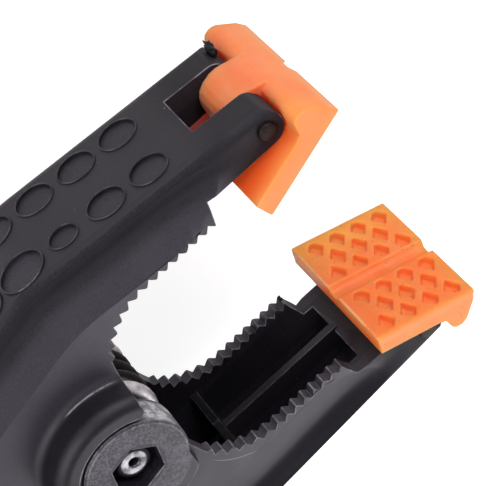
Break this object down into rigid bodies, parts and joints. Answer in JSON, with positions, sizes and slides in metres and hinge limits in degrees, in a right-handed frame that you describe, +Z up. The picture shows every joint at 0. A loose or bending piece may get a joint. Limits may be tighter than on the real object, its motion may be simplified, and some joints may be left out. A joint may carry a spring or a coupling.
{
  "type": "spring clamp",
  "caption": "Hand spring clamp with toothed channel-section arms on a hollow rivet, a torsion spring and swivelling soft jaw pads.",
  "frame": {"origin": "on the pivot axis, in the plane of the hub face that the clamp rests on when it lies on its side", "axes": "+X along the clamp from the handles to the jaws, +Y across the opening towards the upper arm, +Z up along the pivot axis"},
  "size_m": [0.1466, 0.0758, 0.0358],
  "materials": {
    "nylon": "fine satin mould texture, black",
    "pad": "soft satin orange elastomer",
    "pin_steel": "dark oiled steel",
    "rivet_steel": "bright drawn steel",
    "spring_steel": "bright drawn wire"
  },
  "bodies": {
    "lower_arm": {"lower_arm": "nylon", "lower_pad_pin": "pin_steel", "pivot_rivet": "rivet_steel", "torsion_spring": "spring_steel"},
    "upper_arm": {"upper_arm": "nylon", "upper_pad_pin": "pin_steel"},
    "upper_pad": {"upper_pad": "pad"},
    "lower_pad": {"lower_pad": "pad"}
  },
  "joints": [
    {"name": "main_hinge", "type": "hinge", "parent": "lower_arm", "child": "upper_arm", "pos_m": [0, 0, 0.0179], "axis": [0, 0, 1], "range_deg": [-42, 4], "stiffness_Nm_per_rad": 1.2, "springref_deg": -80.21, "deforming": ["torsion_spring"]},
    {"name": "upper_pad_swivel", "type": "hinge", "parent": "upper_arm", "child": "upper_pad", "pos_m": [0.0511, 0.0302, 0.0179], "axis": [0, 0, 1], "range_deg": [-20, 12]},
    {"name": "lower_pad_swivel", "type": "hinge", "parent": "lower_arm", "child": "lower_pad", "pos_m": [0.0511, -0.0302, 0.0179], "axis": [0, 0, 1], "range_deg": [-12, 20]}
  ]
}
